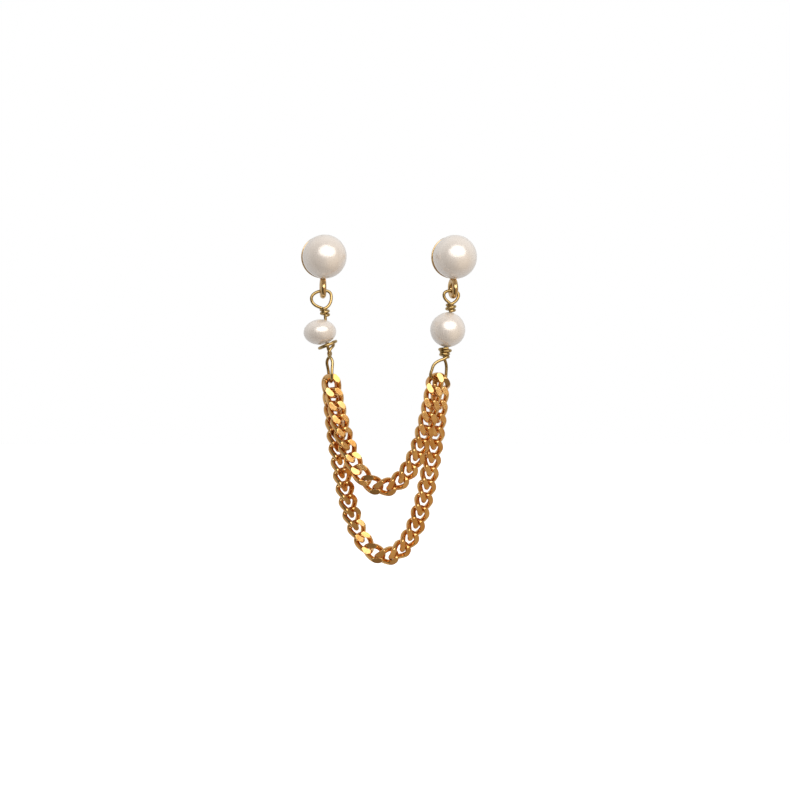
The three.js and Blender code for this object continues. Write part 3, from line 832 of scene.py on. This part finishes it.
def build_drop_pearl(side, seed):
    """An oval pearl drilled along its wire, whose hole may be off its middle.

    Its skin is where rays from the hole's own middle meet the oval: a r^2 + b r + c = 0."""
    bead = side["bead"]
    bore = DROP_WIRE_RADIUS + CONTACT_GAP
    radii = np.array((bead["radius"], bead["radius"], bead["half_height"]))
    middle = np.array((bead["offset"], 0, 0))
    around, rows = 112, 72
    mouth_flare, mouth, inside = 1.25, 0.06, 0.3

    def pole_height(x, y, sign):
        flat = ((x - middle[0]) / radii[0]) ** 2 + (y / radii[1]) ** 2
        return sign * radii[2] * math.sqrt(max(0, 1 - flat))

    first = math.atan2(bore * mouth_flare, pole_height(0, 0, 1))
    points = []
    for i in range(rows + 1):
        polar = lerp(first, math.pi - first, i / rows)
        for j in range(around):
            spin = j / around * 2 * math.pi
            level = np.array((math.cos(spin), math.sin(spin), 0))
            ray = level * math.sin(polar) + np.array((0, 0, math.cos(polar)))
            a = ((ray / radii) ** 2).sum()
            b = -2 * (ray * middle / radii ** 2).sum()
            c = ((middle / radii) ** 2).sum() - 1
            points.append(ray * (-b + math.sqrt(b * b - 4 * a * c)) / (2 * a))
    skin = uneven(np.array(points), middle, DROP_PEARL_WAVES, seed)
    wall_rows = ((-1, mouth), (-1, inside), (1, inside))
    walls = []
    for sign, depth in wall_rows:
        for j in range(around):
            spin = j / around * 2 * math.pi
            x, y = bore * math.cos(spin), bore * math.sin(spin)
            walls.append((x, y, pole_height(x, y, sign) - sign * depth))
    points = np.concatenate((skin, walls)) - np.array((0, 0, bead["depth"]))
    name = side["name"]
    faces = grid_faces(rows + 1 + len(wall_rows), around, True)
    pearl = make_piece(f"{name}_drop_pearl_nacre", from_drop(points, side), faces, nacre_with_painted_glow, 60)
    fit_to_frame(pearl, f"{name}_bead", [f"{name}_drop_pearl"])


# ---------------------------------------------------------------- chains
def loop_seat(side, seat):
    """Where a chain's end link bears on a drop's lower loop."""
    loop, neck = side["lower_loop"], side["lower_neck"]
    height = DROP_LENGTH - neck
    widest = loop_point(math.pi, height, **loop)[2]
    t = math.pi - math.asin(seat * widest / loop["half_width"])
    across, reach, _ = loop_point(t, height, **loop)
    point = [(across, 0, -neck - reach + DROP_WIRE_RADIUS + WIRE_GAP)]
    return from_drop(turned_about(point, "Z", side["loop_angle"]), side)[0]


def halved(low, high, is_low):
    """The value between low and high where is_low turns false, by halving."""
    for _ in range(60):
        middle = (low + high) / 2
        if is_low(middle):
            low = middle
        else:
            high = middle
    return (low + high) / 2


def hanging_corners(start, end, reaches):
    """A hanging chain of equal links, whose slopes grow evenly from one end to the other."""
    def run(steepness, turning):
        corners = [np.array((start[0], start[2]))]
        for i, reach in enumerate(reaches):
            angle = math.atan(steepness * (i - turning))
            corners.append(corners[-1] + reach * np.array((math.cos(angle), math.sin(angle))))
        return corners

    def turning_for(steepness):
        return halved(0, len(reaches), lambda turning: run(steepness, turning)[-1][1] > end[2])

    steepness = halved(0.01, 5, lambda value: run(value, turning_for(value))[-1][0] > end[0])
    return run(steepness, turning_for(steepness))


def chain_corners(chain):
    """Where the links bear on each other: the ends on the two loops, the rest in one plane."""
    start = loop_seat(LEFT, LEFT["seat"] * chain["way"])
    end = loop_seat(RIGHT, RIGHT["seat"] * chain["way"])
    plane = EYE_SETBACK + CHAIN_OFFSET * chain["way"]
    reaches = [LINK_PITCH] * chain["count"]
    reaches[0] = math.sqrt(LINK_PITCH ** 2 - (plane - start[1]) ** 2)
    reaches[-1] = math.sqrt(LINK_PITCH ** 2 - (plane - end[1]) ** 2)
    corners = [np.array((x, plane, z)) for x, z in hanging_corners(start, end, reaches)]
    corners[0][1] = start[1]
    corners[-1][1] = end[1]
    return corners


def curb_link(fine=88, sides=28):
    """One twisted oval ring with both faces cut flat, lying along X and facing +Z."""
    rows = []
    for i in range(fine):
        t = i / fine * 2 * math.pi
        centre = np.array((
            LINK_HALF_LENGTH * math.cos(t), LINK_HALF_WIDTH * math.sin(t), LINK_TWIST * math.sin(2 * t),
        ))
        tangent = np.array((
            -LINK_HALF_LENGTH * math.sin(t), LINK_HALF_WIDTH * math.cos(t),
            2 * LINK_TWIST * math.cos(2 * t),
        ))
        tangent /= np.linalg.norm(tangent)
        outward = np.array((math.cos(t) / LINK_HALF_LENGTH, math.sin(t) / LINK_HALF_WIDTH, 0))
        outward -= tangent * np.dot(outward, tangent)
        outward /= np.linalg.norm(outward)
        across = np.cross(outward, tangent)
        for j in range(sides):
            s = j / sides * 2 * math.pi
            ray = outward * math.cos(s) + across * math.sin(s)
            rows.append(centre + ray * (LINK_WIRE_RADIUS - WIRE_SLACK))
    points = np.array(rows)
    points[:, 2] = np.clip(points[:, 2], -LINK_FLAT, LINK_FLAT)
    return points, grid_faces(fine, sides, True)


LINK_POINTS, LINK_FACES = curb_link()


def chain_roll(i, chain):
    """How far link i is turned about the chain's length; the ends lie square to the front."""
    last = chain["count"] - 1
    share = smoothstep((i / last - chain["turns_from"]) / (chain["turns_to"] - chain["turns_from"]))
    roll = lerp(CHAIN_ROLL_LEFT, CHAIN_ROLL_RIGHT, share)
    return roll * smoothstep(min(i, last - i) / ROLL_EASES)


def build_link(name, start, end, roll, body, node):
    """A link between two corners, rolled about its own length by some degrees."""
    along = (end - start) / np.linalg.norm(end - start)
    front = np.array((0.0, -1.0, 0.0))
    front -= along * np.dot(front, along)
    front /= np.linalg.norm(front)
    across = np.cross(front, along)
    basis = np.stack((along, across, front), 1)
    rolled = turned_about(LINK_POINTS, "X", roll)
    points = rolled @ basis.T + (start + end) / 2
    link = make_piece(name, points, LINK_FACES, chain_gold, 28)
    fit_to_frame(link, body, [node])


def build_chain(chain, seed):
    """All of a chain's links. A left link and its twin on the right are one level of the chain."""
    rng = np.random.default_rng(seed)
    name, count = chain["name"], chain["count"]
    corners = chain_corners(chain)
    per_side = (count - chain["joined"]) // 2
    for i in range(count):
        if i < per_side:
            label, body, node = f"left_{i + 1:02d}", f"{name}_level_{i + 1:02d}", f"left_{i + 1:02d}"
        elif i >= count - per_side:
            number = count - i
            label, body, node = f"right_{number:02d}", f"{name}_level_{number:02d}", f"right_{number:02d}"
        else:
            label, body, node = f"bottom_{i - per_side + 1}", f"{name}_bottom", "bottom"
        rock = rng.normal(0, LINK_ROCK)
        roll = chain_roll(i, chain) + (rock if 0 < i < count - 1 else 0)
        build_link(f"{name}_link_{label}", corners[i], corners[i + 1], roll, body, f"{name}_chain_{node}")


# ---------------------------------------------------------------- the whole piece
STUD_PEARL_SEED, DROP_PEARL_SEED, SHORT_SEED, LONG_SEED = 11, 21, 31, 32

for number, side in enumerate((LEFT, RIGHT)):
    build_pad(side)
    build_eye(side)
    build_solder(side)
    build_stud_pearl(side, STUD_PEARL_SEED + number)
    build_post(side)
    build_clutch_base(side)
    build_clutch_jaw(side)
    build_clutch_spring(side)
    build_clutch_cap(side)
    build_drop_wire(side)
    build_drop_pearl(side, DROP_PEARL_SEED + number)
build_chain(SHORT, SHORT_SEED)
build_chain(LONG, LONG_SEED)


# ---------------------------------------------------------------- studio
VIEW_AZIMUTH = math.radians(-7)
VIEW_DISTANCE = 1.0
VIEW_WIDTH = 0.1167
AIM_RIGHT = 0.75 * MM
AIM_DOWN = 20.42 * MM
FLOOR_HALF_SIZE = 4.0
FLOOR_DROP = 0.012

view_direction = Vector((-math.sin(VIEW_AZIMUTH), math.cos(VIEW_AZIMUTH), 0))
view_right = Vector((math.cos(VIEW_AZIMUTH), math.sin(VIEW_AZIMUTH), 0))


def build_camera():
    """A long lens level with the piece, aimed beside the middle of the stud pearls' plane."""
    data = bpy.data.cameras.new("camera")
    data.sensor_width = 36
    data.lens = data.sensor_width * VIEW_DISTANCE / VIEW_WIDTH
    data.clip_start, data.clip_end = 0.01, 20
    camera = bpy.data.objects.new("camera", data)
    bpy.context.scene.collection.objects.link(camera)
    pearls = Vector((0, PEARL_SETBACK * MM, 0))
    aim = pearls + view_right * AIM_RIGHT - UP * AIM_DOWN
    camera.location = aim - view_direction * VIEW_DISTANCE
    camera.rotation_mode = "QUATERNION"
    camera.rotation_quaternion = view_direction.to_track_quat("-Z", "Y")
    bpy.context.scene.camera = camera


def build_panel(name, right, forward, up, width, height, power):
    """A soft panel light at a place measured from the object along the view's own axes."""
    data = bpy.data.lights.new(name, "AREA")
    data.shape = "ELLIPSE"
    data.size, data.size_y = width, height
    data.energy = power
    light = bpy.data.objects.new(name, data)
    bpy.context.scene.collection.objects.link(light)
    place = view_right * right + view_direction * forward + UP * up
    light.location = place
    light.rotation_mode = "QUATERNION"
    light.rotation_quaternion = (-place).to_track_quat("-Z", "Y")
    light.visible_camera = False


def build_floor():
    """Plain pale paper, a little below the lowest link."""
    material, nodes, links, shader = new_material("floor_paper")
    tone = noise_on(nodes, links, 30, 3)
    colour = ramp_on(nodes, links, tone, [(0.3, (0.88, 0.88, 0.88)), (0.7, (0.92, 0.92, 0.92))])
    links.new(colour, shader.inputs["Base Color"])
    shader.inputs["Roughness"].default_value = 0.9
    shader.inputs["Emission Color"].default_value = (1, 1, 1, 1)
    shader.inputs["Emission Strength"].default_value = 0.8
    mesh = bpy.data.meshes.new("floor")
    size = FLOOR_HALF_SIZE
    z = cad_box[0].z - FLOOR_DROP
    corners = [(-size, -size, z), (size, -size, z), (size, size, z), (-size, size, z)]
    mesh.from_pydata(corners, [], [(0, 1, 2, 3)])
    floor = bpy.data.objects.new("floor", mesh)
    bpy.context.scene.collection.objects.link(floor)
    floor.data.materials.append(material)
    floor.visible_glossy = False
    floor.visible_diffuse = False


def build_world():
    """White all round to the eye; the light is white behind, dim in front, soft low on the right."""
    world = bpy.data.worlds.new("studio")
    bpy.context.scene.world = world
    world.use_nodes = True
    nodes, links = world.node_tree.nodes, world.node_tree.links
    nodes.clear()
    output = nodes.new("ShaderNodeOutputWorld")
    seen = add_node(nodes, "ShaderNodeBackground", Color=(1, 1, 1, 1), Strength=1.0)
    lit = nodes.new("ShaderNodeBackground")
    coordinates = nodes.new("ShaderNodeTexCoord")
    split = nodes.new("ShaderNodeSeparateXYZ")
    links.new(coordinates.outputs["Generated"], split.inputs["Vector"])
    depth = range_on(nodes, links, split.outputs["Y"], 0, 1, -0.35, 0.45)
    colour = ramp_on(nodes, links, depth, [
        (0.0, (0.11, 0.10, 0.09)), (0.5, (0.54, 0.53, 0.52)), (1.0, (0.7, 0.7, 0.7)),
    ])
    low_right = add_node(nodes, "ShaderNodeVectorMath", operation="DOT_PRODUCT")
    low_right.inputs[1].default_value = (0.65, -0.67, -0.37)
    links.new(coordinates.outputs["Generated"], low_right.inputs[0])
    mix_fill = add_node(nodes, "ShaderNodeMix", data_type="RGBA", B=(0.56, 0.44, 0.30, 1))
    glow = range_on(nodes, links, low_right.outputs["Value"], 0, 1, 0.6, 0.95)
    links.new(glow, mix_fill.inputs["Factor"])
    links.new(colour, mix_fill.inputs["A"])
    links.new(mix_fill.outputs["Result"], lit.inputs["Color"])
    path = nodes.new("ShaderNodeLightPath")
    mix = nodes.new("ShaderNodeMixShader")
    links.new(path.outputs["Is Camera Ray"], mix.inputs["Fac"])
    links.new(lit.outputs["Background"], mix.inputs[1])
    links.new(seen.outputs["Background"], mix.inputs[2])
    links.new(mix.outputs["Shader"], output.inputs["Surface"])


build_camera()
build_panel("key_panel", right=0.12, forward=-0.46, up=0.27, width=1.0, height=0.62, power=4.1)
build_floor()
build_world()
bpy.context.scene.view_settings.view_transform = "Standard"
